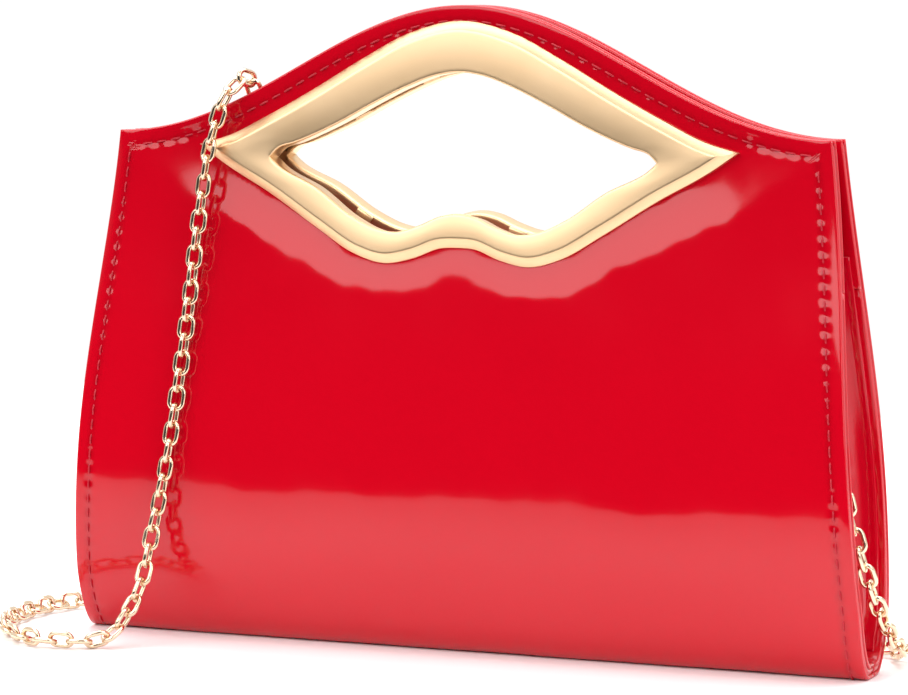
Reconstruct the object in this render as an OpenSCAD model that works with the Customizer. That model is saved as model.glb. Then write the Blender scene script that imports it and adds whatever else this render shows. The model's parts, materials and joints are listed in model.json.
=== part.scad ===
// Clutch purse: two stiffened leather panels over a rounded base, joined by V-folded gussets,
// with a lip-shaped metal hand opening through both panels and a removable link chain.
// +X right, +Y back, +Z up. The origin is on the floor under the middle of the bag.

/* [Bag] */
// Width of the bag at its widest
bag_w = 273; // [230:1:330]
// Height above the floor of the widest place
wide_h = 20; // [10:1:40]
// Width between the two top corners
top_w = 247; // [210:1:300]
// How far the side edges bow outward between the corners
side_bow = 1; // [0:0.5:4]
// Height of the top corners
corner_h = 168; // [150:1:190]
// Height of the arched middle of the panels
peak_h = 209.5; // [190:0.5:240]
// Depth of the bag at its fullest
bag_depth = 42; // [36:1:60]
// Height of the fullest place
belly_h = 60; // [45:1:75]
// Thickness of the closed bag at its top
top_depth = 15.5; // [15:0.5:20]
// Width of the flat strip that the bag stands on
foot_w = 8; // [6:1:20]
// Height of the living hinge between the base and the panels
hinge_h = 27; // [20:1:35]

/* [Layers] */
// Thickness of the outer leather
leather_t = 1.5; // [1:0.1:2]
// Thickness of the stiffening board
board_t = 2; // [1.5:0.1:2.5]
// Thickness of the lining and of the leather facing above it
lining_t = 1.5; // [1:0.1:2]
// Height at which the leather facing meets the lining
facing_h = 122; // [110:1:130]
// Slit between two edges that meet at the living hinge
slit = 0.3; // [0.2:0.1:0.6]
// How far the board stays inside the panel's edge
board_inset = 2; // [1:0.5:4]

/* [Gussets] */
// Height of the gusset's hem
gusset_h = 131; // [120:1:140]
// Height of the gusset's lower end
gusset_foot = 7; // [6:0.5:12]
// Width of one leaf of the folded gusset
leaf_w = 21; // [18:0.5:26]
// Distance from the side edge to the gusset's seam
seam_in = 4; // [3:0.5:8]
// Thickness of the gusset's leather
gusset_t = 1; // [0.8:0.1:1.4]
// Clearance between the gusset and the panels
gusset_gap = 0.3; // [0.2:0.1:0.5]

/* [Hand opening] */
// Width of the lip frame from tip to tip
lip_w = 187; // [150:1:200]
// Rise of the frame's upper edge above its tips
lip_rise = 40.8; // [34:0.2:46]
// Drop of the frame's lower edge below its tips
lip_drop = 37.4; // [30:0.2:44]
// Leather left between the panel's top edge and the frame
lip_margin = 5; // [4:0.5:8]
// Width of the hand opening
hole_w = 134; // [110:1:144]
// Height of the hand opening's corners below the frame's tips
hole_below = 3.3; // [1:0.1:6]
// Rise of the opening's upper edge above its corners
hole_rise = 27.6; // [22:0.2:30]
// Drop of the opening's lower edge below its corners
hole_drop = 24; // [20:0.5:27]
// How far the frame stands proud of the leather
frame_proud = 2.4; // [1.5:0.1:3]
// Width of the bevel along the frame's outer edge
frame_bevel = 1.6; // [0.8:0.1:2.4]
// Thickness of the frame's wall through the panel
frame_wall = 1.4; // [1:0.1:2]
// Margin between the outer edge of the frame and that of its backing ring
ring_inset = 4; // [3:0.5:6]
// Thickness of the backing ring
ring_t = 1; // [0.8:0.1:1.4]
// Width of a prong folded over the backing ring
prong_w = 6; // [4:0.5:8]
// Thickness of a prong
prong_t = 0.5; // [0.4:0.1:0.6]
// Clearance round the frame's wall and its backing ring
frame_gap = 0.2; // [0.1:0.1:0.4]

/* [Magnetic snaps] */
// Distance of each snap from the middle of the bag
snap_x = 106; // [103:1:108]
// Height of the snaps
snap_h = 158; // [150:1:160]
// Radius of the snap's halves
snap_r = 7; // [6:0.5:8]
// Thickness of the stud's plate
stud_t = 1.2; // [1:0.1:1.6]
// Radius of the stud's boss
boss_r = 2.2; // [2:0.1:2.6]
// Radius of the bore that the boss enters
socket_bore_r = 2.8; // [2.6:0.1:3.2]
// Radius of the magnet
magnet_r = 5.6; // [5:0.1:6]
// Thickness of the magnet
magnet_t = 2; // [1.5:0.1:2.5]
// Radius of the washers inside the panels
washer_r = 5; // [4:0.5:6]
// Thickness of the washers
washer_t = 0.8; // [0.6:0.1:1]

/* [Chain fittings] */
// Distance of each chain tab from the middle of the bag
tab_x = 73; // [70:1:78]
// Height of the fold of each chain tab
tab_h = 96; // [92:1:100]
// Width of a chain tab
tab_w = 5; // [4:0.5:6]
// Length of the sewn part of a chain tab
tab_l = 16; // [12:1:20]
// Thickness of the tab's strap
tab_t = 1.2; // [1:0.1:1.5]
// Radius of the hole in the tab's fold
tab_hole_r = 1.9; // [1.8:0.1:2.2]
// Middle radius of the chain ring
ring_r = 5.2; // [5:0.1:6]
// Radius of the chain ring's wire
ring_wire_r = 0.9; // [0.7:0.1:1]
// Outer radius of the clasp's hook
hook_r = 4.2; // [4:0.1:4.6]
// Inner radius of the clasp's hook
hook_in_r = 2.6; // [2.4:0.1:2.8]
// Thickness of the clasp's body
hook_t = 2.6; // [2.4:0.1:3]
// Radius of the gate's pin
pin_r = 0.5; // [0.4:0.05:0.6]
// Running clearance of the pin and of the swivel post
run_gap = 0.08; // [0.05:0.01:0.1]
// Radius of the swivel's post
post_r = 0.92; // [0.8:0.02:1]
// Middle radius of the swivel's eye
eye_r = 2.7; // [2.5:0.1:3]
// Radius of the eye's wire
eye_wire_r = 0.8; // [0.6:0.1:0.9]
// Diameter of the chain between the bag's panels
chain_d = 5; // [4.5:0.1:5.2]

/* [Slip pocket] */
// Width of the slip pocket on the back lining
pocket_w = 120; // [90:1:140]
// Height of the pocket's bottom seam
pocket_low = 45; // [35:1:55]
// Height of the pocket's mouth
pocket_top = 104; // [90:1:112]
// Thickness of the pocket's cloth
pocket_t = 0.9; // [0.6:0.1:1.2]

/* [Hidden] */
patent_red = [0.75, 0.02, 0.1];
dark_red = [0.5, 0.02, 0.07];
gold = [0.9, 0.72, 0.5];
steel = [0.7, 0.7, 0.72];
grey = [0.45, 0.42, 0.4];
$fn = 32;
panel_t = leather_t + board_t + lining_t;
tip_h = peak_h - lip_margin - lip_rise;
strip_h = 12;
far = 400;

// Half depth of the bag's outer surface at a height above the belly
function upper(z) = let (u = min(1, (z - belly_h) / (corner_h - belly_h)))
    (bag_depth - (bag_depth - top_depth) * u * u * (3 - 2 * u)) / 2;
// Half depth at height z of the surface that lies t inside the outer one
function depth_at(z, t) = z >= belly_h ? upper(z) - t
    : let (c = (belly_h - z) / (belly_h - t))
        foot_w / 2 + ((bag_depth - foot_w) / 2 - t) * sqrt(max(0, 1 - c * c));
// The same surface as flat strips of one height, so that layers which touch share their faces
function strip_depth(z, t) = let (
        low = hinge_h + strip_h * floor((z - hinge_h) / strip_h),
        u = (z - low) / strip_h
    )
    depth_at(low, t) * (1 - u) + depth_at(low + strip_h, t) * u;
// Half width of the bag at height z
function side_x(z) = let (u = max(0, (z - wide_h) / (corner_h - wide_h)))
    bag_w / 2 + (top_w - bag_w) / 2 * u + side_bow * 4 * u * (1 - u);
// Height of the panel's top edge at distance x from the middle
function top_z(x) = let (a = min(180, 180 * abs(x) / (top_w / 2)))
    corner_h + (peak_h - corner_h) * ((1 + cos(a)) / 2 - 0.03 * pow(sin(a), 2));

// A smooth curve through points: its direction at point i, and the place t of the way to the next
function unit(v) = v / norm(v);
function way(p, i) = i == 0 ? unit(p[1] - p[0]) : i == len(p) - 1 ? unit(p[i] - p[i - 1])
    : let (a = p[i] - p[i - 1], b = p[i + 1] - p[i], m = norm(a), n = norm(b))
        (a * n / m + b * m / n) / (m + n);
function along(p, i, t) = p[i] * (1 + t * t * (2 * t - 3)) + p[i + 1] * t * t * (3 - 2 * t)
    + norm(p[i + 1] - p[i]) * t * (1 - t) * (way(p, i) * (1 - t) - way(p, i + 1) * t);
// The curve as points no more than about a step apart
function spline(p, step) = [
    for (i = [0:len(p) - 2])
        let (n = max(1, round(norm(p[i + 1] - p[i]) / step)))
        for (k = [0:n - 1]) along(p, i, k / n),
    p[len(p) - 1]
];
function mirrored(half) = concat(half, [for (i = [len(half) - 2:-1:1]) [-half[i][0], half[i][1]]]);

// Outline of one panel, seen from the front
module panel_outline(low) {
    steps = 10;
    heights = [for (i = [0:steps]) low + (corner_h - low) * i / steps];
    top_xs = [for (i = [1:2 * steps - 1]) top_w / 2 * cos(90 * i / steps)];
    polygon(concat(
        [for (z = heights) [side_x(z), z]],
        [for (x = top_xs) [x, top_z(x)]],
        [for (i = [steps:-1:0]) [-side_x(heights[i]), heights[i]]]
    ));
}

// Half outlines run from the middle of the top edge, round the tip, to the middle of the lower edge.
// Each point is [share of the half width, share of the rise or of the drop].
lip_top = [[0, 1], [0.185, 0.91], [0.366, 0.703], [0.553, 0.458], [0.737, 0.235], [0.885, 0.075],
    [0.985, 0.03]];
lip_low = [[0.985, -0.05], [0.9, -0.17], [0.72, -0.42], [0.526, -0.722], [0.38, -0.93], [0.27, -1],
    [0.16, -0.95], [0.06, -0.86], [0, -0.853]];
hole_top = [[0, 1], [0.12, 0.96], [0.27, 0.83], [0.45, 0.625], [0.64, 0.385], [0.87, 0.15], [0.985, 0.04]];
hole_low = [[0.985, -0.04], [0.75, -0.42], [0.55, -0.8], [0.42, -0.96], [0.32, -1], [0.2, -0.91],
    [0.09, -0.78], [0, -0.74]];
outline_step = 8;
function fitted(p, w, rise, drop, z) = spline(
    [for (q = p) [q[0] * w / 2, z + q[1] * (q[1] > 0 ? rise : drop)]], outline_step);
module lip_outline() {
    polygon(mirrored(concat(
        fitted(lip_top, lip_w, lip_rise, lip_drop, tip_h),
        fitted(lip_low, lip_w, lip_rise, lip_drop, tip_h)
    )));
}
module hole_outline() {
    polygon(mirrored(concat(
        fitted(hole_top, hole_w, hole_rise, hole_drop, tip_h - hole_below),
        fitted(hole_low, hole_w, hole_rise, hole_drop, tip_h - hole_below)
    )));
}
module upright(depth = 60) {
    rotate([90, 0, 0]) linear_extrude(depth, center = true) children();
}

// The front layer between depths a and b below the outer surface, from height low to height high
module layer(a, b, low, high) {
    first = floor((low - hinge_h) / strip_h) + 1;
    last = ceil((high - hinge_h) / strip_h) - 1;
    heights = concat([low], [for (i = [first:last]) hinge_h + i * strip_h], [high]);
    rotate([90, 0, 90]) linear_extrude(far, center = true) polygon(concat(
        [for (z = heights) [-strip_depth(z, a), z]],
        [for (i = [len(heights) - 1:-1:0]) [-strip_depth(heights[i], b), heights[i]]]
    ));
}
module to_back() {
    mirror([0, 1, 0]) children();
}

module panel_layer(a, b, low, high, inset = 0) {
    intersection() {
        layer(a, b, low, high);
        upright() offset(delta = -inset) panel_outline(low - inset);
    }
}
module hole_cut() {
    upright() offset(delta = frame_wall + frame_gap) hole_outline();
}
module at_snaps() {
    for (s = [-1, 1]) translate([s * snap_x, 0, snap_h]) rotate([-90, 0, 0]) children();
}

module panel_leather() {
    color(patent_red) difference() {
        panel_layer(0, leather_t, hinge_h + slit, peak_h + 1);
        hole_cut();
    }
}
module panel_board() {
    color(grey) difference() {
        panel_layer(leather_t, leather_t + board_t, hinge_h + slit, peak_h + 1, board_inset);
        hole_cut();
        at_snaps() cylinder(h = 60, r = washer_r + frame_gap, center = true);
    }
}
module backing_outline(gap = 0) {
    offset(delta = gap - ring_inset) lip_outline();
}
module panel_facing() {
    color(patent_red) difference() {
        panel_layer(leather_t + board_t, panel_t, facing_h, peak_h + 1);
        upright() backing_outline(frame_gap);
        hole_cut();
    }
}
module panel_lining() {
    color(dark_red) panel_layer(leather_t + board_t, panel_t, hinge_h + slit, facing_h - slit);
}

// The cast lip: a bevelled rim outside, a wall through the panel, and prongs folded over the ring
module lip_frame() {
    top = peak_h + 1;
    color(gold) {
        intersection() {
            layer(-frame_proud / 2, 0, facing_h, top);
            upright() difference() {
                lip_outline();
                hole_outline();
            }
        }
        intersection() {
            layer(-frame_proud, -frame_proud / 2, facing_h, top);
            upright() difference() {
                offset(delta = -frame_bevel) lip_outline();
                hole_outline();
            }
        }
        intersection() {
            layer(0, panel_t, facing_h, top);
            upright() difference() {
                offset(delta = frame_wall) hole_outline();
                hole_outline();
            }
        }
        intersection() {
            layer(panel_t, panel_t + prong_t, facing_h, top);
            upright() difference() {
                offset(delta = 4) hole_outline();
                hole_outline();
            }
            upright() for (s = [-1, 1], x = [0.16, 0.42])
                translate([s * x * lip_w / 2 - prong_w / 2, facing_h]) square([prong_w, peak_h - facing_h]);
        }
    }
}
module backing_ring() {
    color(gold) intersection() {
        layer(panel_t - ring_t, panel_t - 0.02, facing_h, peak_h);
        upright() difference() {
            backing_outline();
            offset(delta = frame_wall + frame_gap) hole_outline();
        }
    }
}

// Part of the rounded base between depths a and b below the outer surface
module base_layer(a, b, w) {
    steps = 9;
    function half(t) = let (s_end = acos(1 - (hinge_h - t) / (belly_h - t)))
        [for (i = [0:steps]) let (s = s_end * i / steps)
            [foot_w / 2 + ((bag_depth - foot_w) / 2 - t) * sin(s), t + (belly_h - t) * (1 - cos(s))]];
    outer = half(a);
    inner = half(b);
    rotate([90, 0, 90]) linear_extrude(w, center = true) polygon(concat(
        [for (i = [steps:-1:0]) [-outer[i][0], outer[i][1]]],
        outer,
        [for (i = [steps:-1:0]) inner[i]],
        [for (i = [0:steps]) [-inner[i][0], inner[i][1]]]
    ));
}
module base_leather() {
    color(patent_red) base_layer(0, leather_t, bag_w);
}
module base_board() {
    color(grey) base_layer(leather_t, leather_t + board_t, bag_w - 2 * board_inset);
}
module base_lining() {
    color(dark_red) base_layer(leather_t + board_t, panel_t, bag_w);
}

// One level of a gusset: two leaves that meet in a fold inside the bag
function gusset_ring(z) = let (
        e = (z < hinge_h ? depth_at(z, panel_t) : strip_depth(z, panel_t)) - gusset_gap,
        x = side_x(z) - seam_in,
        ramp = 2 + 14 * min(1, (z - gusset_foot) / 38),
        fold = min(sqrt(max(4, leaf_w * leaf_w - e * e)), z < 60 ? ramp : leaf_w),
        wall = gusset_t * sqrt(fold * fold + e * e) / e
    )
    [[x, -e, z], [x - fold, 0, z], [x, e, z], [x - wall, e, z], [x - fold - wall, 0, z], [x - wall, -e, z]];
// A solid through rings of points; caps lists the faces that close each end
module swept(rings, caps) {
    n = len(rings[0]);
    last = len(rings) - 1;
    polyhedron(
        [for (r = rings, p = r) p],
        concat(
            caps,
            [for (k = [0:last - 1], i = [0:n - 1])
                [k * n + i, (k + 1) * n + i, (k + 1) * n + (i + 1) % n, k * n + (i + 1) % n]],
            [for (c = caps) [for (i = [len(c) - 1:-1:0]) last * n + c[i]]]
        ),
        convexity = 6
    );
}
module gusset() {
    levels = 14;
    color(patent_red) swept(
        [for (i = [0:levels]) gusset_ring(gusset_foot + (gusset_h - gusset_foot) * i / levels)],
        [[0, 1, 4, 5], [1, 2, 3, 4]]
    );
}
module gusset_right() {
    gusset();
}
module gusset_left() {
    mirror([1, 0, 0]) gusset();
}

module front_leather() {
    panel_leather();
}
module front_board() {
    panel_board();
}
module front_facing() {
    panel_facing();
}
module front_lining() {
    panel_lining();
}
module front_frame() {
    lip_frame();
}
module front_backing_ring() {
    backing_ring();
}
module back_leather() {
    to_back() panel_leather();
}
module back_board() {
    to_back() panel_board();
}
module back_facing() {
    to_back() panel_facing();
}
module back_lining() {
    to_back() panel_lining();
}
module back_frame() {
    to_back() lip_frame();
}
module back_backing_ring() {
    to_back() backing_ring();
}
module slip_pocket() {
    color(dark_red) to_back() intersection() {
        layer(panel_t + 0.2, panel_t + 0.2 + pocket_t, pocket_low, pocket_top);
        upright() translate([-pocket_w / 2, 0]) square([pocket_w, peak_h]);
    }
}

// Magnetic snaps between the top corners
snap_seat = depth_at(snap_h + snap_r, panel_t) - 0.05;
stud_face = stud_t - snap_seat;
module snap_studs() {
    color(gold) at_snaps() {
        translate([0, 0, -snap_seat]) cylinder(h = stud_t, r = snap_r);
        translate([0, 0, stud_face - 0.2]) cylinder(h = snap_seat * 2 - stud_t - 1, r = boss_r);
    }
}
module snap_sockets() {
    low = stud_face + slit;
    color(gold) at_snaps() difference() {
        translate([0, 0, low]) cylinder(h = snap_seat - low, r = snap_r);
        translate([0, 0, low - 1]) cylinder(h = far, r = socket_bore_r);
        translate([0, 0, snap_seat - magnet_t - 0.4]) cylinder(h = magnet_t + 1, r = magnet_r + 0.1);
    }
}
module snap_magnets() {
    color(steel) at_snaps() translate([0, 0, snap_seat - magnet_t - 0.3]) difference() {
        cylinder(h = magnet_t, r = magnet_r);
        translate([0, 0, -1]) cylinder(h = magnet_t + 2, r = socket_bore_r + 0.4);
    }
}
washer_y = depth_at(snap_h, leather_t + board_t) + 0.6 + washer_t;
module snap_stud_washers() {
    color(steel) at_snaps() translate([0, 0, -washer_y]) cylinder(h = washer_t, r = washer_r);
}
module snap_socket_washers() {
    color(steel) at_snaps() translate([0, 0, washer_y - washer_t]) cylinder(h = washer_t, r = washer_r);
}

// Chain fittings, side -1 on the left and 1 on the right. The chain pulls each end up and towards
// the middle plane, and the right one outward too, so each ring and clasp points that way.
fold_r = tab_hole_r + tab_t;
tab_y = -depth_at(tab_h, panel_t) + fold_r + 0.5;
function pull(side) = side < 0 ? [-0.5, -tab_y, 34] : [20, -0.9 * tab_y, 27];
module along_pull(side, start) {
    d = unit(pull(side));
    u = unit(cross(d, [1, 0, 0]));
    n = cross(u, d);
    p = [side * tab_x, tab_y, tab_h] + start * d;
    multmatrix([[n[0], u[0], d[0], p[0]], [n[1], u[1], d[1], p[1]], [n[2], u[2], d[2], p[2]], [0, 0, 0, 1]])
        children();
}
ring_play = 0.2;
hook_start = 2 * ring_r + hook_in_r - ring_wire_r - ring_play;

module chain_tab(side) {
    p = pull(side);
    color(dark_red) translate([side * tab_x, tab_y, tab_h]) rotate([0, atan(p[0] / p[2]), 0]) difference() {
        union() {
            rotate([0, 90, 0]) cylinder(h = tab_w, r = fold_r, center = true);
            translate([-tab_w / 2, -fold_r, -tab_l]) cube([tab_w, 2 * tab_t, tab_l]);
        }
        rotate([0, 90, 0]) cylinder(h = tab_w + 2, r = tab_hole_r, center = true);
    }
}
module chain_ring(side) {
    color(gold) along_pull(side, ring_r) rotate([90, 0, 0])
        rotate_extrude() translate([ring_r, 0]) circle(ring_wire_r);
}

// The clasp. Its hook is a disc with a mouth in its side; the block above the hook is slotted for the
// gate and has a window for the head of the swivel's post, which turns in a collar on top.
block_y = [-3, 4];
block_z = [2, 11];
mouth_y = 1.2;
mouth_z = [-0.8, 3.4];
slot_w = 1.6;
slot_y = 0.4;
slot_z = [1, 9];
gate_t = 1.2;
gate_y = 2.9;
gate_z = 6.8;
gate_r = 1.5;
gate_toe = [[2.7, -0.6], [3.9, -0.6], [4.4, gate_z], [1.9, gate_z]];
gate_thumb = [[gate_y, 5.8], [5.6, 7.4], [5.2, 8.4], [gate_y, 8.1]];
window_w = 4.2;
window_z = [9.3, 11.2];
collar_r = 2.2;
collar_h = 2.6;
head_r = 1.7;
head_z = [9.6, 10.9];
post_top = 15.2;
eye_low = 14.6;
module clasp_hook(side) {
    color(gold) along_pull(side, hook_start) difference() {
        union() {
            rotate([0, 90, 0]) cylinder(h = hook_t, r = hook_r, center = true);
            translate([-hook_t / 2, block_y[0], block_z[0]])
                cube([hook_t, block_y[1] - block_y[0], block_z[1] - block_z[0]]);
            translate([0, 0, block_z[1]]) cylinder(h = collar_h, r = collar_r);
        }
        rotate([0, 90, 0]) cylinder(h = far, r = hook_in_r, center = true);
        translate([-far / 2, mouth_y, mouth_z[0]]) cube([far, far, mouth_z[1] - mouth_z[0]]);
        translate([-slot_w / 2, slot_y, slot_z[0]]) cube([slot_w, far, slot_z[1] - slot_z[0]]);
        translate([0, gate_y, gate_z]) rotate([0, 90, 0]) cylinder(h = far, r = pin_r, center = true);
        translate([-far / 2, -window_w / 2, window_z[0]]) cube([far, window_w, window_z[1] - window_z[0]]);
        translate([0, 0, window_z[0]]) cylinder(h = far, r = post_r + run_gap);
    }
}
module clasp_pin(side) {
    color(steel) along_pull(side, hook_start) translate([0, gate_y, gate_z]) rotate([0, 90, 0])
        cylinder(h = hook_t, r = pin_r - 0.01, center = true);
}
module clasp_gate(side) {
    color(gold) along_pull(side, hook_start) translate([-gate_t / 2, 0, 0]) rotate([90, 0, 90])
        linear_extrude(gate_t) difference() {
            union() {
                translate([gate_y, gate_z]) circle(gate_r);
                polygon(gate_toe);
                polygon(gate_thumb);
            }
            translate([gate_y, gate_z]) circle(pin_r + run_gap);
        }
}
module clasp_eye(side) {
    color(gold) along_pull(side, hook_start) {
        translate([0, 0, head_z[0]]) cylinder(h = head_z[1] - head_z[0], r = head_r);
        translate([0, 0, head_z[0]]) cylinder(h = post_top - head_z[0], r = post_r);
        translate([0, 0, eye_low + eye_r]) rotate([90, 0, 0])
            rotate_extrude() translate([eye_r, 0]) circle(eye_wire_r);
    }
}
module chain_tab_left() {
    chain_tab(-1);
}
module chain_tab_right() {
    chain_tab(1);
}
module chain_ring_left() {
    chain_ring(-1);
}
module chain_ring_right() {
    chain_ring(1);
}
module clasp_hook_left() {
    clasp_hook(-1);
}
module clasp_hook_right() {
    clasp_hook(1);
}
module clasp_pin_left() {
    clasp_pin(-1);
}
module clasp_pin_right() {
    clasp_pin(1);
}
module clasp_gate_left() {
    clasp_gate(-1);
}
module clasp_gate_right() {
    clasp_gate(1);
}
module clasp_eye_left() {
    clasp_eye(-1);
}
module clasp_eye_right() {
    clasp_eye(1);
}

// The chain: from the left clasp over the front panel's top edge, down the front, round a loop on
// the floor, folded behind the bag, up the right gusset's valley and over its hem to the right clasp.
route = [
    [-73.5, -0.5, 128.2], [-75.5, -0.3, 148], [-77, 0, 168], [-77, -0.1, 180.5], [-78, -4.8, 185.5],
    [-81, -10.6, 181.5], [-86.5, -13, 167], [-90, -15, 143], [-93, -19.6, 105], [-97, -24, 68],
    [-102, -27, 38], [-105, -35, 15], [-110, -46, 3.6], [-129, -53.5, 3.1], [-151, -39, 3.1],
    [-162, -9, 3.1], [-157, 20, 3.1], [-125, 36, 3.1], [-60, 38, 3.1], [8, 38.5, 3.1],
    [26.5, 51.5, 3.1], [8, 64, 3.1], [-90, 64, 3.1], [-106.5, 76.5, 3.1], [-90, 89, 3.1],
    [-10, 87, 3.1], [65, 70, 3.1], [120, 47, 3.1], [137.5, 28, 3.4], [140, 9, 11],
    [139, -5, 23.5], [135.5, -12, 40], [129, -10.5, 62], [124, -4.5, 92], [119, -1.2, 119],
    [114.5, -0.4, 135.5], [107.5, -0.3, 140.5], [98.5, -0.4, 138.5], [94, -0.7, 131], [92.4, -1.1, 122.5]
];
chain_step = 15;
function tangent(p, i) = unit(p[min(i + 1, len(p) - 1)] - p[max(i - 1, 0)]);
module chain() {
    sides = 8;
    path = spline(route, chain_step);
    last = len(path) - 1;
    normals = [for (i = 0, n = [1, 0, 0]; i <= last; i = i + 1,
        n = i > last ? n : unit(n - tangent(path, i) * (n * tangent(path, i)))) n];
    corners = [for (k = [0:sides - 1]) chain_d / 2 * [cos(360 * k / sides), -sin(360 * k / sides)]];
    rings = [for (i = [0:last])
        let (t = tangent(path, i), u = unit(normals[i] - t * (normals[i] * t)), v = cross(t, u))
        [for (c = corners) path[i] + c[0] * u + c[1] * v]];
    color(gold) swept(rings, [[for (k = [0:sides - 1]) k]]);
}

front_leather();
front_board();
front_facing();
front_lining();
front_frame();
front_backing_ring();
base_leather();
base_board();
base_lining();
gusset_left();
gusset_right();
back_leather();
back_board();
back_facing();
back_lining();
back_frame();
back_backing_ring();
slip_pocket();
snap_studs();
snap_stud_washers();
snap_sockets();
snap_magnets();
snap_socket_washers();
chain_tab_left();
chain_tab_right();
chain_ring_left();
chain_ring_right();
clasp_hook_left();
clasp_hook_right();
clasp_pin_left();
clasp_pin_right();
clasp_gate_left();
clasp_gate_right();
clasp_eye_left();
clasp_eye_right();
chain();
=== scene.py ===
import json
import math
import bmesh
import bpy
import numpy as np
from mathutils import Matrix, Vector

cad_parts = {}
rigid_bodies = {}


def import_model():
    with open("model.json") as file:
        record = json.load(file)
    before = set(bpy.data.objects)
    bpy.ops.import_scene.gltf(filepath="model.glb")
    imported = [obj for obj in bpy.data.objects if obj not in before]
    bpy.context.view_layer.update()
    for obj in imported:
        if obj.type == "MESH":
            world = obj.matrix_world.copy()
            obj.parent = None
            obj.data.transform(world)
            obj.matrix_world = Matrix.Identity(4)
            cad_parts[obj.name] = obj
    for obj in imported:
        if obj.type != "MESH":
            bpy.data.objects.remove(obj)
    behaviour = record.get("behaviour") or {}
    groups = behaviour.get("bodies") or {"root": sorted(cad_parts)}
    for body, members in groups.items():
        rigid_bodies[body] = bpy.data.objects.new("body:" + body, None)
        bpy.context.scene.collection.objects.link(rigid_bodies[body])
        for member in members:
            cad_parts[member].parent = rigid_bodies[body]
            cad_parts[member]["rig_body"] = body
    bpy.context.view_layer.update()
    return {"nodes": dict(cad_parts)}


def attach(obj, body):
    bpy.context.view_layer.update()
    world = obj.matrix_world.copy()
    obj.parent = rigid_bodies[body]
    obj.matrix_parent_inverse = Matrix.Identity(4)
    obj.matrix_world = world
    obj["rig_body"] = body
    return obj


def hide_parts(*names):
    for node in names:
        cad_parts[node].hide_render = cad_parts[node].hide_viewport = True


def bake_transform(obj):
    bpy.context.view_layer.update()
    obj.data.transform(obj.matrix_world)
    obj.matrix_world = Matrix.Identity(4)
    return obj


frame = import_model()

# ---- Camera -------------------------------------------------------------------------------------
# It stands to the right of the bag's front, level with the top of the bag, with a long lens.
stands_at = Vector((0.4696, -1.1301, 0.2142))
looks_at = Vector((-0.00596, 0, 0.09863))
lens = bpy.data.cameras.new("camera")
lens.lens = 150.3
lens.sensor_width = 36
camera = bpy.data.objects.new("camera", lens)
camera.location = stands_at
camera.rotation_euler = (looks_at - stands_at).to_track_quat("-Z", "Y").to_euler()
bpy.context.collection.objects.link(camera)
bpy.context.scene.camera = camera
bpy.context.scene.view_settings.view_transform = "Standard"

# ---- Chain --------------------------------------------------------------------------------------
# A cable chain of oval brass links, each bent from wire, closed, and plated a pale gold. It hangs
# over the front panel, lies in a loop on the floor and is folded behind the bag.
route = np.array([
    (-0.0735, -0.0005, 0.1282), (-0.0755, -0.0003, 0.148), (-0.077, 0, 0.168),
    (-0.077, -0.0001, 0.1805), (-0.078, -0.0048, 0.1855), (-0.081, -0.0106, 0.1815),
    (-0.0865, -0.013, 0.167), (-0.09, -0.015, 0.143), (-0.093, -0.0196, 0.105),
    (-0.097, -0.024, 0.068), (-0.102, -0.027, 0.038), (-0.105, -0.035, 0.015),
    (-0.11, -0.046, 0.0036), (-0.129, -0.0535, 0.0031), (-0.151, -0.039, 0.0031),
    (-0.162, -0.009, 0.0031), (-0.157, 0.02, 0.0031), (-0.125, 0.036, 0.0031),
    (-0.06, 0.038, 0.0031), (0.008, 0.0385, 0.0031), (0.0265, 0.0515, 0.0031),
    (0.008, 0.064, 0.0031), (-0.09, 0.064, 0.0031), (-0.1065, 0.0765, 0.0031),
    (-0.09, 0.089, 0.0031), (-0.01, 0.087, 0.0031), (0.065, 0.07, 0.0031), (0.12, 0.047, 0.0031),
    (0.1375, 0.028, 0.0034), (0.14, 0.009, 0.011), (0.139, -0.005, 0.0235), (0.1355, -0.012, 0.04),
    (0.129, -0.0105, 0.062), (0.124, -0.0045, 0.092), (0.119, -0.0012, 0.119),
    (0.1145, -0.0004, 0.1355), (0.1075, -0.0003, 0.1405), (0.0985, -0.0004, 0.1385),
    (0.094, -0.0007, 0.131), (0.0924, -0.0011, 0.1225),
])
# What the chain lies against at each point of the route: the way out of that surface.
lies_on = np.array([(0, -1, 0)] * 4 + [(0, 0, 1)] + [(0, -1, 0)] * 7 + [(0, 0, 1)] * 17
                   + [(1, 0, 0)] * 6 + [(0, 0, 1)] * 3 + [(0, -1, 0)] * 2, float)
link_length, link_width, link_wire, link_pitch = 0.00905, 0.0062, 0.00165, 0.00585


def smooth_line(points, step):
    """A smooth curve through points: its own points, about a step apart, and where each lies."""
    gaps = np.linalg.norm(np.diff(points, axis=0), axis=1)
    way = np.zeros_like(points)
    way[0] = (points[1] - points[0]) / gaps[0]
    way[-1] = (points[-1] - points[-2]) / gaps[-1]
    for i in range(1, len(points) - 1):
        before, after = points[i] - points[i - 1], points[i + 1] - points[i]
        m, n = gaps[i - 1], gaps[i]
        way[i] = (before * n / m + after * m / n) / (m + n)
    line, place = [], []
    for i, gap in enumerate(gaps):
        count = max(1, round(gap / step))
        for t in np.arange(count) / count:
            line.append(points[i] * (1 + t * t * (2 * t - 3)) + points[i + 1] * t * t * (3 - 2 * t)
                        + gap * t * (1 - t) * (way[i] * (1 - t) - way[i + 1] * t))
            place.append(i + t)
    return np.array(line + [points[-1]]), np.array(place + [len(points) - 1])


def unit(v):
    return v / np.linalg.norm(v, axis=-1, keepdims=True)


def turns_from(along, outward):
    """Quaternions that take X along a line and Z as near outward as they can."""
    x = unit(along)
    z = unit(outward - x * np.sum(outward * x, axis=1, keepdims=True))
    y = np.cross(z, x)
    return [Matrix(np.stack([a, b, c], axis=1)).to_quaternion() for a, b, c in zip(x, y, z)]


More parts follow.
